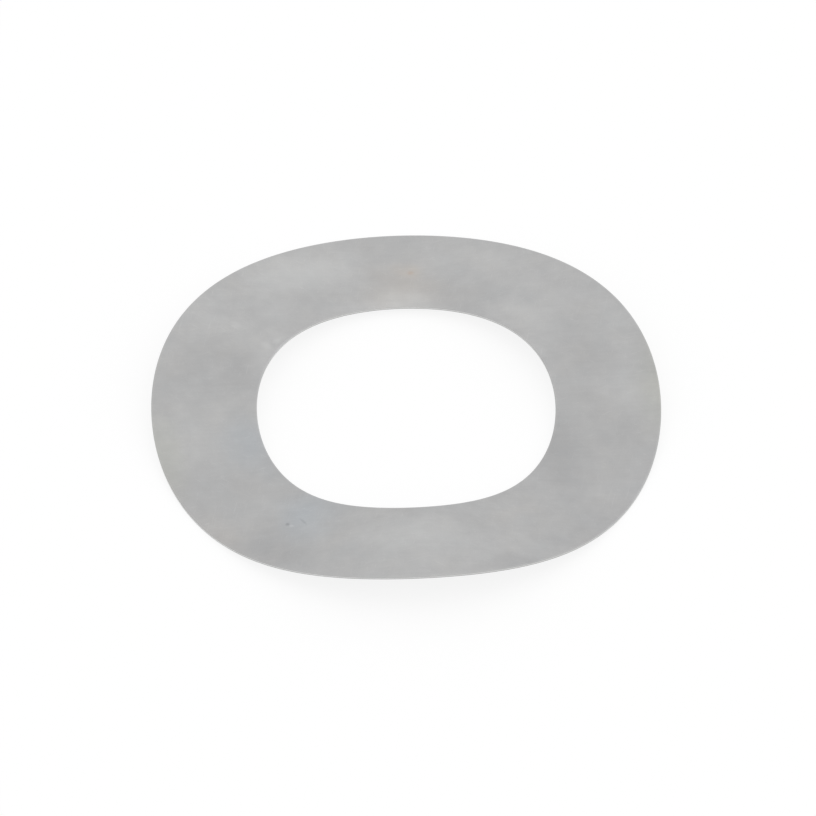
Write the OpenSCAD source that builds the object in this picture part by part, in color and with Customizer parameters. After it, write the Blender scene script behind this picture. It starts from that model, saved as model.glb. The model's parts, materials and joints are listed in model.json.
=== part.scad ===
// Wave-type thrust washer: one thin ring of spring steel, blanked round and pressed into shallow waves.
// The origin is on the axis of the hole, on the surface that the washer lies on. +Z is up, and the
// highest crest is towards -Y.

/* [Ring] */
// Outer diameter
outer_d = 35; // [28:0.5:60]
// Diameter of the hole: a 20 mm shaft with half a millimetre of play
bore_d = 20.5; // [8:0.25:25]
// Thickness of the sheet, measured square to it
sheet_t = 0.2; // [0.1:0.05:0.5]

/* [Waves] */
// Number of waves round the ring
wave_count = 3; // [2:1:6]
// Height of the crests over the troughs at the rim, as the mean of all the crests
wave_h = 1.9; // [1:0.1:3.5]
// How far the highest crest stands over that mean; the crests across the ring from it are lower
crest_lead = 0.45; // [0:0.05:0.8]

/* [Hidden] */
steel_grey = "#b4b4b4";
// Direction of the highest crest
lead_angle = -90;
// Flat sectors that make up one wave: every crest and trough then lies on an edge between two of them
wave_sectors = 60;
sectors = wave_count * wave_sectors;
// Sides of the circles on screen
round_fn = 360;
outer_r = outer_d / 2;
// How far the uncut sheet reaches past the rim, and the cutting cylinders past the sheet
spare = 1;
sheet_r = outer_r + spare;
// Every straight line across the ring points at one place on the axis, half-way up the waves
hub_z = wave_h / 2;

// Height of the sheet's middle at the rim, over the troughs
function rim_z(a) =
    (wave_h + crest_lead * cos(a - lead_angle)) * (1 + cos(wave_count * (a - lead_angle))) / 2;

// Slope of the sheet along the rim: the rate at which rim_z grows, over the radius
function slope_round(a) =
    let (turn = a - lead_angle)
    let (lead_part = crest_lead * sin(turn) * (1 + cos(wave_count * turn)))
    let (wave_part = (wave_h + crest_lead * cos(turn)) * wave_count * sin(wave_count * turn))
    -(lead_part + wave_part) / 2 / outer_r;

// Slope of the sheet along its radius, from the hub to the rim
function slope_out(a) = (rim_z(a) - hub_z) / outer_r;

// Half of the sheet's thickness as it stands upright: a sloping sheet is thicker upright than square to it
function half_upright(a) = sheet_t / 2 * norm([1, slope_round(a), slope_out(a)]);

// The underside of each trough touches the ground
ground_lift = half_upright(lead_angle + 180 / wave_count);

// A point on the uncut sheet's outer edge: side is 1 on the upper face and -1 on the lower one
function sheet_edge(a, side) = [
    sheet_r * cos(a),
    sheet_r * sin(a),
    ground_lift + hub_z + slope_out(a) * sheet_r + side * half_upright(a)
];

// A point on the axis where one face's straight lines meet
function sheet_hub(side) = [0, 0, ground_lift + hub_z + side * sheet_t / 2];

// The waved sheet before its edges are cut. Thin sheet bends but doesn't stretch, so each sector between
// two straight lines from the hub is flat, and the waves grow evenly from the hole to the rim.
module waved_sheet() {
    angles = [for (i = [0 : sectors - 1]) lead_angle + i * 360 / sectors];
    top = [for (a = angles) sheet_edge(a, 1)];
    under = [for (a = angles) sheet_edge(a, -1)];
    hub_top = 2 * sectors;
    hub_under = hub_top + 1;
    top_faces = [for (i = [0 : sectors - 1]) [hub_top, (i + 1) % sectors, i]];
    under_faces = [for (i = [0 : sectors - 1]) [hub_under, sectors + i, sectors + (i + 1) % sectors]];
    edge_faces = [
        for (i = [0 : sectors - 1])
            let (next = (i + 1) % sectors)
            [i, next, sectors + next, sectors + i]
    ];
    polyhedron(
        points = concat(top, under, [sheet_hub(1), sheet_hub(-1)]),
        faces = concat(top_faces, under_faces, edge_faces)
    );
}

// The round blanking punch and die: what lies between the rim and the hole stays
module ring_cut() {
    low = -spare;
    tall = ground_lift + wave_h + crest_lead + sheet_t + 2 * spare;
    difference() {
        translate([0, 0, low])
            cylinder(d = outer_d, h = tall, $fn = round_fn);
        translate([0, 0, low - spare])
            cylinder(d = bore_d, h = tall + 2 * spare, $fn = round_fn);
    }
}

module washer() {
    color(steel_grey)
        intersection() {
            waved_sheet();
            ring_cut();
        }
}

washer();
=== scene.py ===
# %% [markdown]
# # A wave thrust washer
# The washer is one thin ring of spring steel. A punch and die cut it round from cold-rolled strip, a press
# gave it three shallow waves, and a tumbling barrel took off the burrs and left it satin grey.
#
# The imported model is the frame: it says where the washer is and how big. This scene makes a finer surface in
# the same place, gives it the finish of the steel, and photographs it from the photo's angle.

# %% Load the frame
import json
import math

import bpy
import numpy as np
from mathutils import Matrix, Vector


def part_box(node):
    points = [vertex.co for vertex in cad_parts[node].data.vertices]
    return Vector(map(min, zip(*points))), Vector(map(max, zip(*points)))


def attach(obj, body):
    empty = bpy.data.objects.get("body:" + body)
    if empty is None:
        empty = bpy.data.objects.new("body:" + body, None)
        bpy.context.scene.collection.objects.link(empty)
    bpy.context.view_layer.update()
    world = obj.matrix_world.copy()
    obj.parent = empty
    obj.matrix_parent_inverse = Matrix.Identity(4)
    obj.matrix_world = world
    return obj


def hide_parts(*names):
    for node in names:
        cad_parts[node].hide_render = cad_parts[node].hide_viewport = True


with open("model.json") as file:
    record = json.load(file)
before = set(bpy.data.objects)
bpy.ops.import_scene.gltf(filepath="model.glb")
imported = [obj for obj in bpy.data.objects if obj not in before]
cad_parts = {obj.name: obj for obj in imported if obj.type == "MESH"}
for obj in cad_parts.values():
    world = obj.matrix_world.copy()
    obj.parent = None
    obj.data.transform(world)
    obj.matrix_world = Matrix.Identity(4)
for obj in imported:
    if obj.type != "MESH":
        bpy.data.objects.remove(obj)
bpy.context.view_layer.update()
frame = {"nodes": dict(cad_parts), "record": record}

# The frame is in metres. This script's own sizes are in millimetres, and its reliefs in micrometres.
MM, UM = 1e-3, 1e-6

# %% [markdown]
# ## Sizes
# The frame gives the outer size, the height and, in its mount, the radius of the hole. A box can't show the
# thickness of the sheet, the mean height of the waves, their number or where the highest one stands, so these
# are repeated here. Everything else is worked out. hub_z is the height at which the sheet's straight lines
# would meet on the axis, half way up a wave. ground_lift is how far the middle of the sheet lies over the
# ground at a trough. The highest crest is what is left of the height.

# %% Sizes in millimetres
low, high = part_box("washer")
outer_r = high.x / MM
hole_r = next(m for m in frame["record"]["mounts"] if m["name"] == "shaft_hole")["dims"]["r_mm"]
sheet_t = 0.2
wave_h = 1.9
wave_count = 3
lead_angle = math.radians(-90)
hub_z = wave_h / 2
ground_lift = sheet_t / 2 * math.hypot(1, hub_z / outer_r)


def find_crest_lead():
    """How far the highest crest stands over the mean one. The box's top is the lift off the ground, plus
    the crest, plus half of the sheet, which leans out by (crest - hub) / radius there. The lean hardly
    changes with the answer, so five rounds settle it."""
    lead = 0.0
    for _ in range(5):
        lean = (wave_h + lead - hub_z) / outer_r
        lead = high.z / MM - ground_lift - sheet_t / 2 * math.hypot(1, lean) - wave_h
    return lead


crest_lead = find_crest_lead()
print(f"radii {outer_r:.3f} and {hole_r:.3f}, waves {wave_h:.3f}, highest crest {crest_lead:+.3f} mm more")

# %% [markdown]
# ## The waved sheet
# Thin steel bends but doesn't stretch. So every straight line from the hub to the rim stays straight when the
# waves are pressed, and a wave at the hole is a smaller copy of the wave at the rim. A lattice could bend a
# flat ring into waves, but it would stretch the steel. Here the height is a function of the angle, scaled by
# the radius. That is a cone whose rim goes up and down.

# %% Height and slope of the sheet
def rim_height(angle):
    """Height of the sheet's middle at the rim, over the troughs: a raised cosine for each wave, as high as
    the mean wave plus a lead that is largest at lead_angle and fades round to its opposite."""
    turn = angle - lead_angle
    return (wave_h + crest_lead * np.cos(turn)) * (1 + np.cos(wave_count * turn)) / 2


def slope_round(angle):
    """How fast the rim climbs along its own length: the derivative of rim_height over the outer radius."""
    turn = angle - lead_angle
    lead_part = crest_lead * np.sin(turn) * (1 + np.cos(wave_count * turn))
    wave_part = (wave_h + crest_lead * np.cos(turn)) * wave_count * np.sin(wave_count * turn)
    return -(lead_part + wave_part) / 2 / outer_r


def middle_height(angle, radius):
    """Height of the sheet's middle over the troughs: a straight climb from the hub to the rim."""
    return hub_z + (rim_height(angle) - hub_z) * radius / outer_r


def sheet_point(angle, radius, side):
    """A point in millimetres on the sheet: side is 1 on its upper face, -1 on its lower face, and anything
    between them in the metal. Half of the thickness stands on the middle, measured upright."""
    slope_out = (rim_height(angle) - hub_z) / outer_r
    upright = sheet_t / 2 * np.sqrt(1 + slope_round(angle) ** 2 + slope_out ** 2)
    height = ground_lift + middle_height(angle, radius) + side * upright
    return np.stack([radius * np.cos(angle), radius * np.sin(angle), height], axis=-1)


crests = [rim_height(lead_angle + 2 * math.pi * wave / wave_count) for wave in range(wave_count)]
print("crests over the troughs in mm:", [round(float(crest), 2) for crest in crests])

# %% [markdown]
# ## The section of the ring
# A punched edge isn't square. The punch drags the metal down before it cuts, which rounds the upper edge.
# Then it shears a smooth upright band, the land, and tears the rest, which leans in a little. Tumbling rounds
# the burr below. A Bevel modifier would round both corners alike, so the section is drawn as an outline: a
# long thin box with a wide soft corner at the top, a land, a torn band and a small corner at the bottom. Its
# points are packed close together near the corners, so that smooth shading doesn't spread the rounding over
# the flat faces.

# %% Section profile
roll_w, roll_h = 0.070, 0.045
burr_w, burr_h = 0.025, 0.022
land_h = 0.055
torn_lean = 0.008
face_rows = 36
corner_rows = 6
land_rows, torn_rows = 2, 3


def corner(across, down, wall_r, sign):
    """A quarter of an ellipse from the flat face to the wall: across and down are its half axes, sign is
    which way the wall faces. Returns radii and how far each point lies under the face."""
    turn = np.linspace(0, np.pi / 2, corner_rows + 1)
    return wall_r - sign * across * (1 - np.sin(turn)), down * (1 - np.cos(turn))


def wall(wall_r, sign):
    """One cut edge from the upper face to the lower one, as radii and depths under the upper face: the
    rolled corner, the upright land, the torn band that leans in, and the tumbled burr."""
    top_r, top_d = corner(roll_w, roll_h, wall_r, sign)
    torn_r = wall_r - sign * torn_lean
    foot_r, foot_d = corner(burr_w, burr_h, torn_r, sign)
    land_d = np.linspace(roll_h, roll_h + land_h, land_rows + 1)[1:]
    torn_share = np.linspace(0, 1, torn_rows + 1)[1:-1]
    torn_d = land_d[-1] + torn_share * (sheet_t - burr_h - land_d[-1])
    radii = [top_r, wall_r + 0 * land_d, wall_r + (torn_r - wall_r) * torn_share, foot_r[::-1]]
    return np.concatenate(radii), np.concatenate([top_d, land_d, torn_d, sheet_t - foot_d[::-1]])


def eased(start, end, count):
    """Numbers from start to end with close steps at both ends: half a cosine. Both ends are left out."""
    share = (1 - np.cos(np.pi * np.arange(1, count) / count)) / 2
    return start + (end - start) * share


def ring_section():
    """The closed outline of the section, as radii and sides (1 at the upper face, -1 at the lower): down
    the rim, back along the lower face, up the wall of the hole and out along the upper face."""
    rim_r, rim_d = wall(outer_r, 1)
    hole_wall_r, hole_wall_d = wall(hole_r, -1)
    under_r = eased(rim_r[-1], hole_wall_r[-1], face_rows)
    top_r = eased(hole_wall_r[0], rim_r[0], face_rows)
    radii = [rim_r, under_r, hole_wall_r[::-1], top_r]
    depths = [rim_d, sheet_t + 0 * under_r, hole_wall_d[::-1], 0 * top_r]
    return np.concatenate(radii), 1 - np.concatenate(depths) / (sheet_t / 2)


section_r, section_side = ring_section()
wall_top, wall_foot = 1 - roll_h / (sheet_t / 2), burr_h / (sheet_t / 2) - 1
print("points in the section:", len(section_r), "the wall spans sides", wall_top, "to", round(wall_foot, 2))

# %% [markdown]
# ## The mesh
# The section is carried round the hole, and rises and falls with the sheet. The ring closes on itself twice:
# once round the hole, and once round its own section. So its points are a grid of angles by section points,
# worked out as one array, and the last row and column join the first. The faces of the two cut walls get the
# second material, because sheared metal looks unlike tumbled metal.

# %% Build the washer
around = 720
FACE, EDGE = 0, 1

# Two sides count as equal within this much, because sums of decimals are a hair off.
rounding = 1e-6


def closed_grid(name, points_mm, column_material):
    """A mesh of quads over a grid of points that closes in both directions. The columns run down the rim,
    in under the ring, up the hole and out over the top; the rows run anticlockwise seen from above. Each
    quad goes down its column, then to the next row, and faces out. The material goes by the column."""
    rows, columns = points_mm.shape[:2]
    row, column = np.meshgrid(np.arange(rows), np.arange(columns), indexing="ij")
    next_row, next_column = (row + 1) % rows, (column + 1) % columns
    quads = np.stack([row * columns + column, row * columns + next_column,
                      next_row * columns + next_column, next_row * columns + column], axis=-1)
    mesh = bpy.data.meshes.new(name)
    mesh.vertices.add(rows * columns)
    mesh.vertices.foreach_set("co", (points_mm * MM).astype(np.float32).ravel())
    mesh.loops.add(quads.size)
    mesh.loops.foreach_set("vertex_index", quads.astype(np.int32).ravel())
    mesh.polygons.add(rows * columns)
    mesh.polygons.foreach_set("loop_start", np.arange(0, quads.size, 4, dtype=np.int32))
    mesh.polygons.foreach_set("use_smooth", np.ones(rows * columns, bool))
    mesh.polygons.foreach_set("material_index", np.tile(column_material, rows).astype(np.int32))
    mesh.update(calc_edges=True)
    made = bpy.data.objects.new(name, mesh)
    bpy.context.scene.collection.objects.link(made)
    return made


def is_wall(side, next_side):
    """True for the columns between the rolled corner and the burr, where the metal was cut."""
    upper, lower = np.maximum(side, next_side), np.minimum(side, next_side)
    return (upper < wall_top + rounding) & (lower > wall_foot - rounding)


angles = np.linspace(0, 2 * np.pi, around, endpoint=False)[:, None]
points = sheet_point(angles + 0 * section_r, section_r + 0 * angles, section_side)
cut = is_wall(section_side, np.roll(section_side, -1))
washer = closed_grid("waved_ring", points, np.where(cut, EDGE, FACE))
print("quads:", len(washer.data.polygons), "columns on the cut walls:", int(cut.sum()))

# %% [markdown]
# Three facts about each point help the finish. One is its side, from 1 on the upper face to -1 on the lower.
# The next is how far it sticks out of its face: crests rub against the next washer in the barrel and in the
# box, troughs don't, and underneath it is the other way round. The last is how near it is to a cut edge,
# where the barrel polishes most. A material could guess such things from the shape of the mesh, but here they
# are known, so the mesh keeps them as attributes.

# %% Facts for the finish
worn_mm = 0.12


def keep_fact(name, values):
    """Stores one number for each point of the washer, for the materials to read."""
    fact = washer.data.attributes.new(name, "FLOAT", "POINT")
    fact.data.foreach_set("value", values.astype(np.float32).ravel())


tallest = wave_h + crest_lead
side_of_point = section_side + 0 * angles
risen = middle_height(angles, section_r) / tallest
keep_fact("side", side_of_point)
keep_fact("rub", np.where(side_of_point > 0, risen, 1 - risen))
from_wall = np.minimum(section_r - hole_r, outer_r - section_r) + 0 * angles
keep_fact("worn", np.clip(1 - from_wall / worn_mm, 0, 1))
print("rub runs from", round(float(risen.min()), 2), "to", round(float(risen.max()), 2))

# %% [markdown]
# The frame's own model has flat sectors and sharp corners. Each of its points should still lie on the upper
# or the lower face of this sheet, carried on to where the sharp corners would be.

# %% Compare with the frame
cad_points = np.array([v.co for v in frame["nodes"]["washer"].data.vertices]) / MM
cad_x, cad_y, cad_z = cad_points.T
cad_angle, cad_radius = np.arctan2(cad_y, cad_x), np.hypot(cad_x, cad_y)
over, under = [abs(sheet_point(cad_angle, cad_radius, side)[:, 2] - cad_z) for side in (1, -1)]
furthest = np.minimum(over, under).max()
print(f"frame's points: {len(cad_points)}, furthest from a face of this sheet: {furthest:.4f} mm")

# %% [markdown]
# ## Node helper and colours
# Every material is a few nodes, so one helper adds a node with its settings and its inputs. Colours are
# written as sRGB hex, as a colour picker shows them, and turned to the linear values that the renderer uses.

# %% Helpers for materials
def add(tree, kind, inputs=None, **settings):
    """Adds a node. inputs holds values by name or number: an output socket is linked, and anything else is
    set as the input's own value. settings are the node's own properties."""
    made = tree.nodes.new(kind)
    for name, value in settings.items():
        setattr(made, name, value)
    for name, value in (inputs or {}).items():
        if isinstance(value, bpy.types.NodeSocket):
            tree.links.new(value, made.inputs[name])
        else:
            made.inputs[name].default_value = value
    return made


def linear(hex_colour):
    """Linear RGBA from sRGB hex: each channel goes through the sRGB curve, alpha is 1."""
    channels = [int(hex_colour[i:i + 2], 16) / 255 for i in (1, 3, 5)]
    return [c / 12.92 if c <= 0.04045 else ((c + 0.055) / 1.055) ** 2.4 for c in channels] + [1.0]


def per_metre(period_mm):
    """The scale of a pattern on coordinates in metres, from the size in millimetres at which it repeats."""
    return 1 / (period_mm * MM)


def new_material(name):
    """An empty node material and its tree."""
    made = bpy.data.materials.new(name)
    made.use_nodes = True
    made.node_tree.nodes.clear()
    return made, made.node_tree


# A Mix node has sockets called A, B and Result for each kind of data. Names find those for plain numbers, and
# these numbers find those for colours.
MIX_A, MIX_B, MIXED = 6, 7, 2
print("the sRGB grey #808080 is", round(linear("#808080")[0], 3), "in linear light")

# %% [markdown]
# ## Laying patterns over each other
# The steel's grey is a plain sum. It starts at the middle grey, and each pattern adds or takes away a few
# steps, where a step is 1/255 of the range from black to white. The relief is a sum as well, in micrometres.
# One function serves both. A noise texture stays near 0.5 and seldom leaves 0.3 to 0.7, so 0.5 is its zero
# and 0.7 its one.

# %% Sums of patterns
NOISE = {"zero": 0.5, "one": 0.7}


def lay_on(tree, total, pattern, amount, zero=0.0, one=1.0):
    """Adds amount x (pattern - zero) / (one - zero) to the total, which is a number or an output."""
    part = add(tree, "ShaderNodeMapRange", {"Value": pattern, "From Min": zero, "From Max": one,
                                            "To Min": 0.0, "To Max": amount}, clamp=False)
    return add(tree, "ShaderNodeMath", {0: total, 1: part.outputs[0]}).outputs[0]


def stretched_noise(tree, place, size_mm, stretch, turn, detail=3.0):
    """Noise drawn out along one direction of the sheet: turn is that direction's angle in degrees from X,
    and stretch is how many times longer than wide each fleck is."""
    along = add(tree, "ShaderNodeMapping", {"Vector": place, "Rotation": (0, 0, math.radians(turn)),
                                            "Scale": (stretch, 1, 1)}, vector_type="TEXTURE")
    return add(tree, "ShaderNodeTexNoise", {"Vector": along.outputs[0], "Scale": per_metre(size_mm),
                                            "Detail": detail}).outputs["Fac"]


def top_spot(tree, place, patch, upper, soft=1.0):
    """An ellipse on the upper face: 1 in its middle, 0 past its half sizes, smooth between them. soft is the
    share of the half size over which it fades, and upper is 1 on the upper face and 0 under it."""
    (middle_x, middle_y), (half_x, half_y) = patch["centre_mm"], patch["half_mm"]
    local = add(tree, "ShaderNodeMapping", {"Vector": place, "Location": (middle_x * MM, middle_y * MM, 0),
                                            "Rotation": (0, 0, math.radians(patch["turn"])),
                                            "Scale": (half_x * MM, half_y * MM, 1)}, vector_type="TEXTURE")
    cone = add(tree, "ShaderNodeTexGradient", {"Vector": local.outputs[0]}, gradient_type="SPHERICAL")
    faded = add(tree, "ShaderNodeMapRange", {"Value": cone.outputs["Fac"], "From Max": soft},
                interpolation_type="SMOOTHSTEP")
    return add(tree, "ShaderNodeMath", {0: faded.outputs[0], 1: upper}, operation="MULTIPLY").outputs[0]


print("a pattern that repeats every millimetre has the scale", round(per_metre(1.0)))

# %% [markdown]
# ## Painted light and shade, and film, on the upper face
# Soft patches a few steps lighter or darker are painted light and painted shade: most of them paint the lit
# and shaded slopes of the waves, and the pale edge behind the hole is a painted highlight. A dried film of
# rust-proofing oil leaves the steel here and there a touch warmer or cooler. Where the oil ran to the rim and
# dried thicker, it is the colour of straw.
# Noise alone would put such patches anywhere. Here each one is an ellipse with a place of its own, which can
# be read, moved or taken out by hand. It has its middle and half sizes in millimetres on the washer, and the
# turn of its length from X in degrees. The number of steps is how strong it is.

# %% Painted light and shade, tints and straw rims
# Steps above 0 are painted light and steps below 0 are painted shade, mostly on the slopes of the waves.
film = {
    "painted light across the far left": dict(centre_mm=(-6.5, 13.9), half_mm=(6.4, 3.2), turn=22, steps=11),
    "pale band across the far right": dict(centre_mm=(6.5, 14.4), half_mm=(7.5, 3.2), turn=-28, steps=5),
    # A painted highlight along the edge behind the hole.
    "painted highlight on the edge behind the hole": dict(centre_mm=(0.3, 10.0), half_mm=(4.4, 2.7), turn=0, steps=11),
    "pale patch at the back": dict(centre_mm=(1.2, 14.0), half_mm=(3.4, 2.8), turn=-20, steps=5),
    "painted light at the back right": dict(centre_mm=(8.0, 8.6), half_mm=(2.9, 2.0), turn=-45, steps=8),
    "pale patch on the right": dict(centre_mm=(15.2, 0.4), half_mm=(3.2, 2.8), turn=0, steps=5),
    "painted light at the front": dict(centre_mm=(-0.8, -12.9), half_mm=(5.5, 2.6), turn=4, steps=6),
    "pale patch on the left": dict(centre_mm=(-14.3, -1.7), half_mm=(5.2, 4.4), turn=-20, steps=7),
    # Painted shade where the wave rises from the hole.
    "painted shade right of the hole": dict(centre_mm=(10.6, -5.2), half_mm=(2.6, 5.4), turn=8, steps=-7),
    "dull patch left of the hole": dict(centre_mm=(-10.6, 3.8), half_mm=(2.4, 3.0), turn=20, steps=-6),
    "dull patch on the far left": dict(centre_mm=(-13.2, 4.8), half_mm=(4.8, 3.8), turn=60, steps=-6),
    "painted shade at the front left": dict(centre_mm=(-10.2, -12.2), half_mm=(4.8, 3.0), turn=-40, steps=-6),
    "painted shade across the front right": dict(centre_mm=(12.2, -11.4), half_mm=(8.0, 2.6), turn=50, steps=-5),
    "dull rim at the front right": dict(centre_mm=(6.4, -16.0), half_mm=(3.6, 1.4), turn=15, steps=-6),
    "dull streak on the right": dict(centre_mm=(12.4, 4.8), half_mm=(2.6, 4.2), turn=10, steps=-6),
    "dull rim on the right": dict(centre_mm=(16.6, 2.6), half_mm=(2.2, 4.0), turn=0, steps=-5),
    "dull patch ahead of the pale one": dict(centre_mm=(14.6, -3.6), half_mm=(2.6, 1.8), turn=0, steps=-4),
}
tints = {
    "warm film at the back": dict(centre_mm=(0.6, 12.4), half_mm=(4.2, 3.2), turn=-10, steps=5),
    "warm bloom round the rust speck": dict(centre_mm=(1.0, 13.8), half_mm=(1.3, 1.2), turn=0, steps=5),
    "warm streak at the front right": dict(centre_mm=(6.4, -10.6), half_mm=(3.4, 1.3), turn=20, steps=2),
    "warm rim at the front left": dict(centre_mm=(-13.6, -10.4), half_mm=(3.8, 1.9), turn=-53, steps=3),
    "cool film at the front left": dict(centre_mm=(-7.3, -9.7), half_mm=(3.2, 3.8), turn=-20, steps=-6),
    "cool film left of the hole": dict(centre_mm=(-10.9, -2.4), half_mm=(2.3, 3.8), turn=20, steps=-5),
}
straw_rims = {
    "straw rim on the right": dict(centre_mm=(17.3, 0.9), half_mm=(2.4, 6.4), turn=0, steps=2.2),
    "straw rim on the left": dict(centre_mm=(-17.0, -3.4), half_mm=(2.4, 5.4), turn=8, steps=2.2),
}
print(len(film), "patches of painted light and shade,", len(tints), "tints and", len(straw_rims), "straw rims")

# %% [markdown]
# Handling has left a nick with a raised lip and a scratch beside it. Three pale grazes lie at the back left
# of the hole, where something rubbed the pits flat. They all are ellipses as well, small ones with firmer
# outlines. They are too shallow to build in the mesh, so they have a rise in micrometres, below zero for a
# dent, that goes into the relief. Damp has left one speck of rust, which is only a thin bloom.
# The nick and the scratch are also painted some steps darker, which is painted shade in their hollows, and the
# lip some steps lighter, which is a painted highlight. Their rise in the relief is their shape.

# %% Small marks
small_marks = {
    # The darker steps of the nick and the scratch are painted shade, and the lighter steps of the lip a
    # painted highlight.
    "nick": dict(centre_mm=(-8.82, -10.22), half_mm=(0.20, 0.20), turn=0, steps=-16, rise_um=-20),
    "lip of the nick": dict(centre_mm=(-8.55, -10.48), half_mm=(0.26, 0.20), turn=-20, steps=8, rise_um=6),
    "scratch": dict(centre_mm=(-7.72, -10.20), half_mm=(0.58, 0.13), turn=-61, steps=-9, rise_um=-8),
    "graze by the hole": dict(centre_mm=(-9.22, 6.18), half_mm=(0.62, 0.42), turn=-44, steps=6, rise_um=-1),
    "second graze": dict(centre_mm=(-8.48, 6.64), half_mm=(0.44, 0.36), turn=43, steps=6, rise_um=-1),
    "graze further out": dict(centre_mm=(-11.18, 8.20), half_mm=(0.68, 0.46), turn=-39, steps=5, rise_um=-1),
}
rust_speck = dict(centre_mm=(1.15, 13.63), half_mm=(0.32, 0.28), turn=0)
RUST, rust_share = "#b79a84", 0.25
mark_softness = 0.8
print("marks:", ", ".join(small_marks), "and a speck of rust")

# %% [markdown]
# ## Tumbled spring steel
# Cold-rolled carbon spring steel. The rolls leave a fine grain along the strip, here along X. The barrel then
# beats the surface matte with tiny pits, a little unevenly, and hairline scratches run every way. The eye
# sees an even satin grey with soft clouds. One noise in a colour ramp would look like stone. So each cause
# has a noise of its own, with a size in millimetres. The real grain is about 0.02 mm wide, too fine to show,
# so it is drawn some ten times coarser. The pits and the hairlines are drawn about twice as wide as real
# ones.

# %% Patterns of the faces
noise_mm = {"cloud": 9.0, "haze": 3.0, "tint": 2.4, "mottle": 0.9, "peen": 0.08}
grain_mm, grain_stretch = 0.2, 14
hairline_mm, hairline_stretch = 0.05, 60
hairline_turns = (18, -37, 76)
hairline_start, hairline_full = 0.68, 0.74


def steel_patterns(tree, place):
    """The noises that cover the steel, and one mask for the hairlines in all their directions. A hairline
    is where a long thin noise rises from hairline_start to hairline_full."""
    patterns = {}
    for name, size_mm in noise_mm.items():
        noise = add(tree, "ShaderNodeTexNoise", {"Vector": place, "Scale": per_metre(size_mm)})
        patterns[name] = noise.outputs["Fac"]
    patterns["grain"] = stretched_noise(tree, place, grain_mm, grain_stretch, 0)
    lines = 0.0
    for turn in hairline_turns:
        noise = stretched_noise(tree, place, hairline_mm, hairline_stretch, turn, detail=1.0)
        line = add(tree, "ShaderNodeMapRange", {"Value": noise, "From Min": hairline_start,
                                                "From Max": hairline_full})
        lines = add(tree, "ShaderNodeMath", {0: lines, 1: line.outputs[0]}, operation="MAXIMUM").outputs[0]
    patterns["hairlines"] = lines
    return patterns


print("patterns:", ", ".join([*noise_mm, "grain"]), "and hairlines in", len(hairline_turns), "directions")

# %% [markdown]
# The two faces are only 0.2 mm apart, so a cloud of 9 mm would show on both in the same place. The upper face
# therefore reads its patterns 100 mm above itself. The patches of painted light and shade and of the film get
# ragged outlines in the same way: the place that they read wanders with a noise.

# %% What the faces read
face_shift_mm = 100
wander_size_mm, wander_mm = 3.0, 1.2


def face_readings(tree):
    """What a point of the faces reads: its place, the far place of its patterns, the wandering place of its
    patches of painted light and shade and of film, 1 on the upper face and 0 under it, and two of the facts
    kept in the mesh."""
    place = add(tree, "ShaderNodeTexCoord").outputs["Object"]
    side = add(tree, "ShaderNodeAttribute", attribute_name="side").outputs["Fac"]
    rub = add(tree, "ShaderNodeAttribute", attribute_name="rub").outputs["Fac"]
    worn = add(tree, "ShaderNodeAttribute", attribute_name="worn").outputs["Fac"]
    upper = add(tree, "ShaderNodeMath", {0: side, 1: 0.0}, operation="GREATER_THAN").outputs[0]
    lift = add(tree, "ShaderNodeMath", {0: upper, 1: face_shift_mm * MM}, operation="MULTIPLY").outputs[0]
    shift = add(tree, "ShaderNodeCombineXYZ", {"Z": lift}).outputs[0]
    far_place = add(tree, "ShaderNodeVectorMath", {0: place, 1: shift}).outputs[0]
    noise = add(tree, "ShaderNodeTexNoise", {"Vector": place, "Scale": per_metre(wander_size_mm)})
    centred = add(tree, "ShaderNodeVectorMath", {0: noise.outputs["Color"], 1: (NOISE["zero"],) * 3},
                  operation="SUBTRACT").outputs[0]
    wandering = add(tree, "ShaderNodeVectorMath", {0: centred, 1: (2 * wander_mm * MM,) * 3, 2: place},
                    operation="MULTIPLY_ADD").outputs[0]
    return dict(place=place, far_place=far_place, wandering=wandering, upper=upper, rub=rub, worn=worn)


def lay_film_and_painted_light(tree, total, patches, read):
    """Adds each patch to the total by its own number of steps, with its outline made ragged."""
    for patch in patches.values():
        spot = top_spot(tree, read["wandering"], patch, read["upper"])
        total = lay_on(tree, total, spot, patch["steps"])
    return total


print("the film's outlines wander by at most", wander_mm, "mm")

# %% [markdown]
# Now the grey. The noises and the patches of painted light and shade make it a few steps lighter or darker,
# and crests that rub, edges that the barrel polished and hairlines are lighter. The sum is divided by the
# length of a ramp of three greys, which gives the place on the ramp where a point takes its colour.

# %% Grey of the faces
STEEL_DARK, STEEL_MID, STEEL_LIGHT = "#a2a2a3", "#b6b6b6", "#cacac9"
ramp_steps = int(STEEL_LIGHT[1:3], 16) - int(STEEL_DARK[1:3], 16)
noise_steps = {"cloud": 2.2, "haze": 1.7, "mottle": 1.8, "peen": 1.1, "grain": 0.95}
rub_steps, rub_middle = 5.0, 0.45
worn_steps = 9.0
hairline_steps = 6.0


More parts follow.
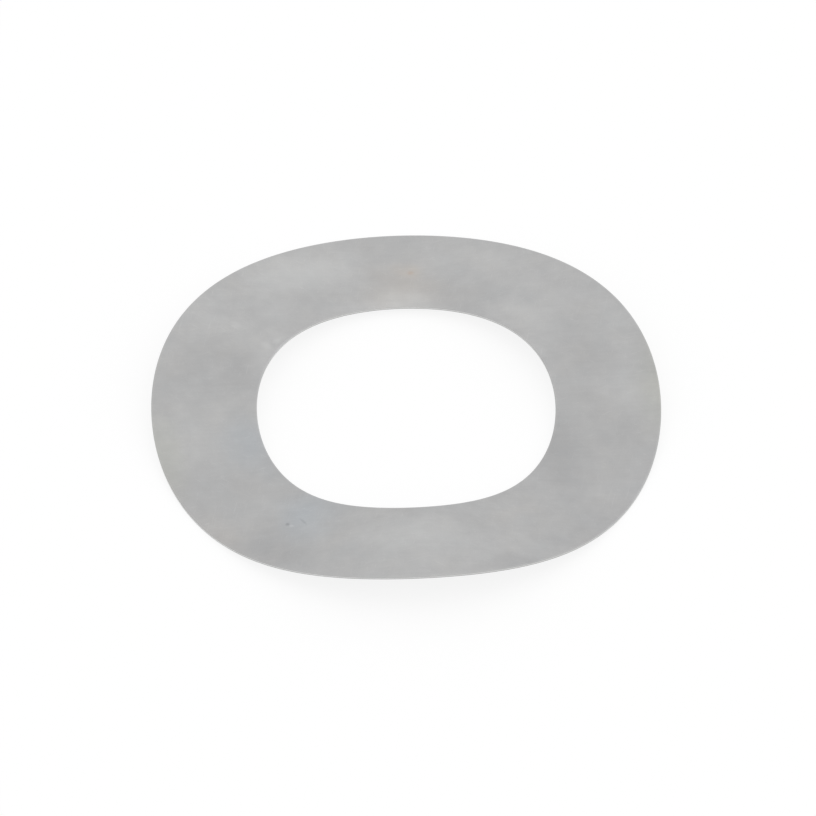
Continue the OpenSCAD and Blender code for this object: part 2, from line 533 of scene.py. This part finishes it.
def ramp_place(tree, read, patterns, marks):
    """Where on the ramp a face takes its grey: 0 is the dark end, 0.5 the middle grey and 1 the light end."""
    grey = ramp_steps / 2
    for name, steps in noise_steps.items():
        grey = lay_on(tree, grey, patterns[name], steps, **NOISE)
    grey = lay_on(tree, grey, read["rub"], rub_steps, zero=rub_middle, one=rub_middle + 1)
    grey = lay_on(tree, grey, read["worn"], worn_steps)
    grey = lay_on(tree, grey, patterns["hairlines"], hairline_steps)
    # Soft patches of painted light and painted shade on the upper face.
    grey = lay_film_and_painted_light(tree, grey, film, read)
    # Steps of the marks: lighter grazes are wear, the nick and scratch painted shade, the lip a painted
    # highlight.
    for name, mark in small_marks.items():
        grey = lay_on(tree, grey, marks[name], mark["steps"])
    return add(tree, "ShaderNodeMath", {0: grey, 1: ramp_steps}, operation="DIVIDE").outputs[0]


print("the ramp is", ramp_steps, "steps long")

# %% [markdown]
# Each tint moves red, green and blue by a few steps whose sum is 0, so the steel stays as light as it was. A
# cool tint is a warm one below zero. The rust is mixed in last.

# %% Colour of the faces
tint_steps = 0.7
WARM, STRAW = (0.5, 0.0, -0.5), (0.35, 0.55, -0.9)

# What one step is at the middle grey, as a share of its linear value.
step_share = linear("#b7b7b7")[0] / linear(STEEL_MID)[0] - 1


def face_colour(tree, share, read, patterns):
    """The ramp's grey, plus each tint's amount times its share of the grey, with a little rust."""
    ramp = add(tree, "ShaderNodeValToRGB", {"Fac": share})
    stops = ramp.color_ramp.elements
    stops[0].color, stops[1].color = linear(STEEL_DARK), linear(STEEL_LIGHT)
    stops.new(0.5).color = linear(STEEL_MID)
    grey = tinted = ramp.outputs[0]
    warmth = lay_film_and_painted_light(tree, lay_on(tree, 0.0, patterns["tint"], tint_steps, **NOISE), tints, read)
    straw = lay_film_and_painted_light(tree, 0.0, straw_rims, read)
    for amount, hue in ((warmth, WARM), (straw, STRAW)):
        one_step = [step_share * part for part in hue]
        change = add(tree, "ShaderNodeVectorMath", {0: one_step, "Scale": amount},
                     operation="SCALE").outputs[0]
        tinted = add(tree, "ShaderNodeVectorMath", {0: grey, 1: change, 2: tinted},
                     operation="MULTIPLY_ADD").outputs[0]
    speck = top_spot(tree, read["place"], rust_speck, read["upper"], soft=mark_softness)
    rust = add(tree, "ShaderNodeMath", {0: speck, 1: rust_share}, operation="MULTIPLY").outputs[0]
    return add(tree, "ShaderNodeMix", {"Factor": rust, MIX_A: tinted, MIX_B: linear(RUST)},
               data_type="RGBA").outputs[MIXED]


print(f"one step is {step_share:.2%} of the middle grey's linear value")

# %% [markdown]
# The pits of a tumbled face are a few micrometres deep, far too fine to build in the mesh. A Bump node tilts
# the light instead, by the slope of a height. That height is a sum again, in micrometres.

# %% Relief of the faces
noise_um = {"grain": 0.2, "mottle": 3.0, "peen": 1.0}
hairline_um = -1.5


def face_relief(tree, patterns, marks):
    """The normal of the faces, tilted by the noises, the hairlines and the marks."""
    height_um = 0.0
    for name, rise_um in noise_um.items():
        height_um = lay_on(tree, height_um, patterns[name], rise_um, **NOISE)
    height_um = lay_on(tree, height_um, patterns["hairlines"], hairline_um)
    for name, mark in small_marks.items():
        height_um = lay_on(tree, height_um, marks[name], mark["rise_um"])
    return add(tree, "ShaderNodeBump", {"Height": height_um, "Distance": UM}).outputs[0]


print("rise of each noise in micrometres:", noise_um)

# %% [markdown]
# The shader is a plain metal with the default IOR. Tumbled steel is satin, with a roughness near 0.4. Where
# it was rubbed light it is a little smoother, so the roughness follows the place on the ramp.

# %% Face material
dull_place, dull_roughness = 0.3, 0.42
light_place, light_roughness = 0.7, 0.34


def tumbled_steel():
    """The satin faces: patterns and marks laid over the middle grey, and over a flat relief."""
    made, tree = new_material("tumbled_spring_steel")
    read = face_readings(tree)
    patterns = steel_patterns(tree, read["far_place"])
    marks = {name: top_spot(tree, read["place"], mark, read["upper"], soft=mark_softness)
             for name, mark in small_marks.items()}
    share = ramp_place(tree, read, patterns, marks)
    colour = face_colour(tree, share, read, patterns)
    relief = face_relief(tree, patterns, marks)
    gloss = add(tree, "ShaderNodeMapRange", {"Value": share, "From Min": dull_place, "From Max": light_place,
                                             "To Min": dull_roughness, "To Max": light_roughness}).outputs[0]
    steel = add(tree, "ShaderNodeBsdfPrincipled", {"Base Color": colour, "Metallic": 1.0,
                                                   "Roughness": gloss, "Normal": relief})
    add(tree, "ShaderNodeOutputMaterial", {"Surface": steel.outputs[0]})
    return made


washer.data.materials.append(tumbled_steel())
print("nodes in the faces' material:", len(washer.data.materials[FACE].node_tree.nodes))

# %% [markdown]
# ## Sheared edge
# The same steel where the punch cut it, without the patches of painted light and shade, the film and the pits
# that grey the faces. The land is burnished by the punch, smooth and bright. Below it the metal tore, which
# leaves it rougher and duller than the land, with fine streaks from top to bottom. The streaks are about 0.02
# mm wide, and drawn three times as wide. A material of its own keeps this one and the faces' one short.

# %% Edge material
LAND, TORN = "#dcdcdc", "#c2c2c1"
land_roughness, torn_roughness = 0.32, 0.55
streak_mm, streak_stretch, streak_depth_um = 0.06, 12, 4.0
land_foot = wall_top - land_h / (sheet_t / 2)
foot_blur, foot_raggedness = 0.1, 0.15


def sheared_steel():
    """The cut walls: a burnished land over a torn band. The line between them is where the side, moved up
    and down by the streaks, passes land_foot."""
    made, tree = new_material("sheared_spring_steel")
    place = add(tree, "ShaderNodeTexCoord").outputs["Object"]
    side = add(tree, "ShaderNodeAttribute", attribute_name="side").outputs["Fac"]
    upright = add(tree, "ShaderNodeMapping", {"Vector": place, "Scale": (1, 1, streak_stretch)},
                  vector_type="TEXTURE").outputs[0]
    noise = add(tree, "ShaderNodeTexNoise", {"Vector": upright, "Scale": per_metre(streak_mm)})
    streaks = noise.outputs["Fac"]
    ragged = lay_on(tree, side, streaks, foot_raggedness, **NOISE)
    land = add(tree, "ShaderNodeMapRange", {"Value": ragged, "From Min": land_foot - foot_blur,
                                            "From Max": land_foot + foot_blur}).outputs[0]
    shade = add(tree, "ShaderNodeMix", {"Factor": land, MIX_A: linear(TORN), MIX_B: linear(LAND)},
                data_type="RGBA").outputs[MIXED]
    gloss = add(tree, "ShaderNodeMapRange", {"Value": land, "To Min": torn_roughness,
                                             "To Max": land_roughness}).outputs[0]
    relief = add(tree, "ShaderNodeBump", {"Height": streaks, "Distance": streak_depth_um * UM}).outputs[0]
    steel = add(tree, "ShaderNodeBsdfPrincipled", {"Base Color": shade, "Metallic": 1.0,
                                                   "Roughness": gloss, "Normal": relief})
    add(tree, "ShaderNodeOutputMaterial", {"Surface": steel.outputs[0]})
    return made


washer.data.materials.append(sheared_steel())
print("nodes in the edge's material:", len(washer.data.materials[EDGE].node_tree.nodes))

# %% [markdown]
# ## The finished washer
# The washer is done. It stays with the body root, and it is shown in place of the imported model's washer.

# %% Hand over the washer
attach(washer, "root")
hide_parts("washer")
print("triangles:", 2 * len(washer.data.polygons))

# %% [markdown]
# ## Floor
# The washer lies on a white table. The photo's table is bare white, with hardly a shadow, and a matte plane
# alone would come out pale grey. So what the camera and reflections see of the table is mostly an even white
# glow, and a fifth of it is the matte white that takes the shadow. Other light meets only the matte white.
# The table lies a hair under the washer, because two surfaces in one place would flicker.

# %% Floor
TABLE_WHITE = "#f5f5f5"
table_m, table_gap_mm = 2.0, 0.01
glow_share = 0.78

# In the tent's light the matte white alone comes out at about 0.80. The glow brings the mix up to white, 1.
matte_level = 0.80
glow_level = (1 - (1 - glow_share) * matte_level) / glow_share


def white_table():
    """Matte white, with an even glow laid over it for the camera and for reflections."""
    made, tree = new_material("white_table")
    ray = add(tree, "ShaderNodeLightPath").outputs
    looked_at = add(tree, "ShaderNodeMath", {0: ray["Is Camera Ray"], 1: ray["Is Glossy Ray"]},
                    operation="MAXIMUM").outputs[0]
    share = add(tree, "ShaderNodeMath", {0: looked_at, 1: glow_share}, operation="MULTIPLY").outputs[0]
    matte = add(tree, "ShaderNodeBsdfDiffuse", {"Color": linear(TABLE_WHITE)}).outputs[0]
    glow = add(tree, "ShaderNodeEmission", {"Color": (1, 1, 1, 1), "Strength": glow_level}).outputs[0]
    both = add(tree, "ShaderNodeMixShader", {0: share, 1: matte, 2: glow}).outputs[0]
    add(tree, "ShaderNodeOutputMaterial", {"Surface": both})
    return made


half, top_z = table_m / 2, low.z - table_gap_mm * MM
corners = [(-half, -half, top_z), (half, -half, top_z), (half, half, top_z), (-half, half, top_z)]
table_mesh = bpy.data.meshes.new("table")
table_mesh.from_pydata(corners, [], [(0, 1, 2, 3)])
table_mesh.materials.append(white_table())
floor = bpy.data.objects.new("table", table_mesh)
bpy.context.scene.collection.objects.link(floor)
print("table:", table_m, "m wide, with a glow of strength", round(glow_level, 3))

# %% [markdown]
# ## Light
# A white tent round the table gives level light. A plain white sphere would do, but metal only shows its form
# where what it mirrors changes. So the tent's strength is nearly 0.9 plus a small share of each direction's
# X, Y and Z, which makes it brighter to the right, behind and above, where its lamps stand. Near the table it
# falls off, as a tent does below its lamps. That is what tells the slopes of the waves apart. The camera sees
# plain white.

# %% Light
dim = 0.889
brighter_towards = (0.092, 0.155, 0.030)
low_band, low_band_power = 0.42, 4


def white_tent():
    """A world whose strength is dim + brighter_towards . direction - low_band x (1 - |Z|) ^ low_band_power,
    and plain white where the camera looks past the table."""
    made = bpy.data.worlds.new("tent")
    made.use_nodes = True
    tree = made.node_tree
    tree.nodes.clear()
    direction = add(tree, "ShaderNodeTexCoord").outputs["Generated"]
    lean = add(tree, "ShaderNodeVectorMath", {0: direction, 1: brighter_towards}, operation="DOT_PRODUCT")
    lit = add(tree, "ShaderNodeMath", {0: lean.outputs["Value"], 1: dim}).outputs[0]
    climb = add(tree, "ShaderNodeSeparateXYZ", {0: direction}).outputs["Z"]
    steep = add(tree, "ShaderNodeMath", {0: climb}, operation="ABSOLUTE").outputs[0]
    level_share = add(tree, "ShaderNodeMath", {0: 1.0, 1: steep}, operation="SUBTRACT").outputs[0]
    band = add(tree, "ShaderNodeMath", {0: level_share, 1: low_band_power}, operation="POWER").outputs[0]
    light = lay_on(tree, lit, band, -low_band)
    seen = add(tree, "ShaderNodeLightPath").outputs["Is Camera Ray"]
    strength = add(tree, "ShaderNodeMix", {"Factor": seen, "A": light, "B": 1.0}).outputs[0]
    tent = add(tree, "ShaderNodeBackground", {"Color": (1, 1, 1, 1), "Strength": strength})
    add(tree, "ShaderNodeOutputWorld", {"Surface": tent.outputs[0]})
    return made


bpy.context.scene.world = white_tent()
print("the tent's strength straight above the washer:", round(dim + brighter_towards[2], 3))

# %% [markdown]
# ## Camera
# The photo's outlines show no perspective at all, so the lens was a long one far away, and the camera here is
# orthographic. It looks down at 45.8 degrees from a little to the left of the highest crest. origin_px is
# where the frame's origin, on the table under the middle of the hole, falls in the picture.

# %% Camera
frame_px = 816
px_per_mm = 14.571
camera_azimuth, camera_elevation = math.radians(-3.6), math.radians(45.8)
origin_px = (406.2, 420.15)
camera_distance_m, near_m, far_m = 0.3, 0.01, 5

back = Vector((math.sin(camera_azimuth) * math.cos(camera_elevation),
               -math.cos(camera_azimuth) * math.cos(camera_elevation), math.sin(camera_elevation)))
turned = (-back).to_track_quat("-Z", "Y")
right, up = turned @ Vector((1, 0, 0)), turned @ Vector((0, 1, 0))
aim = MM / px_per_mm * ((frame_px / 2 - origin_px[0]) * right + (origin_px[1] - frame_px / 2) * up)
lens = bpy.data.cameras.new("camera")
lens.type = "ORTHO"
lens.ortho_scale = frame_px / px_per_mm * MM
lens.clip_start, lens.clip_end = near_m, far_m
camera = bpy.data.objects.new("camera", lens)
bpy.context.scene.collection.objects.link(camera)
camera.rotation_mode = "QUATERNION"
camera.rotation_quaternion = turned
camera.location = aim + camera_distance_m * back
bpy.context.scene.camera = camera
bpy.context.scene.view_settings.view_transform = "Standard"
print("the frame is", round(frame_px / px_per_mm, 2), "mm wide")
